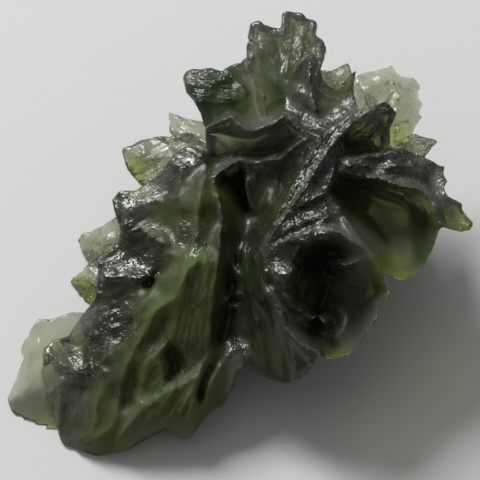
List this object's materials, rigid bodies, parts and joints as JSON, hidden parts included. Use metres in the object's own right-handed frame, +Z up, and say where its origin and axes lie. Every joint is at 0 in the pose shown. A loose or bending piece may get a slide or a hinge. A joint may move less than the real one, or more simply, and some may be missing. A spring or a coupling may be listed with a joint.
{
  "type": "moldavite",
  "caption": "Free-standing raw moldavite of the hedgehog kind: see-through bottle-green natural glass, all scoops, flutes and sharp crests, resting on its lobes.",
  "frame": {"origin": "centre of the bounding box's base, on the surface that the stone rests on", "axes": "+Z up. -Y is the side that the broad sculpted face leans towards. +X is to the right when looking along +Y, from the thin corner lobe towards the two cups"},
  "size_m": [0.04, 0.036, 0.0168],
  "materials": {
    "moldavite_glass": "etched natural glass, satin in the scoops and finely pitted on the crests"
  },
  "bodies": {
    "root": {"moldavite": "moldavite_glass"}
  },
  "joints": []
}
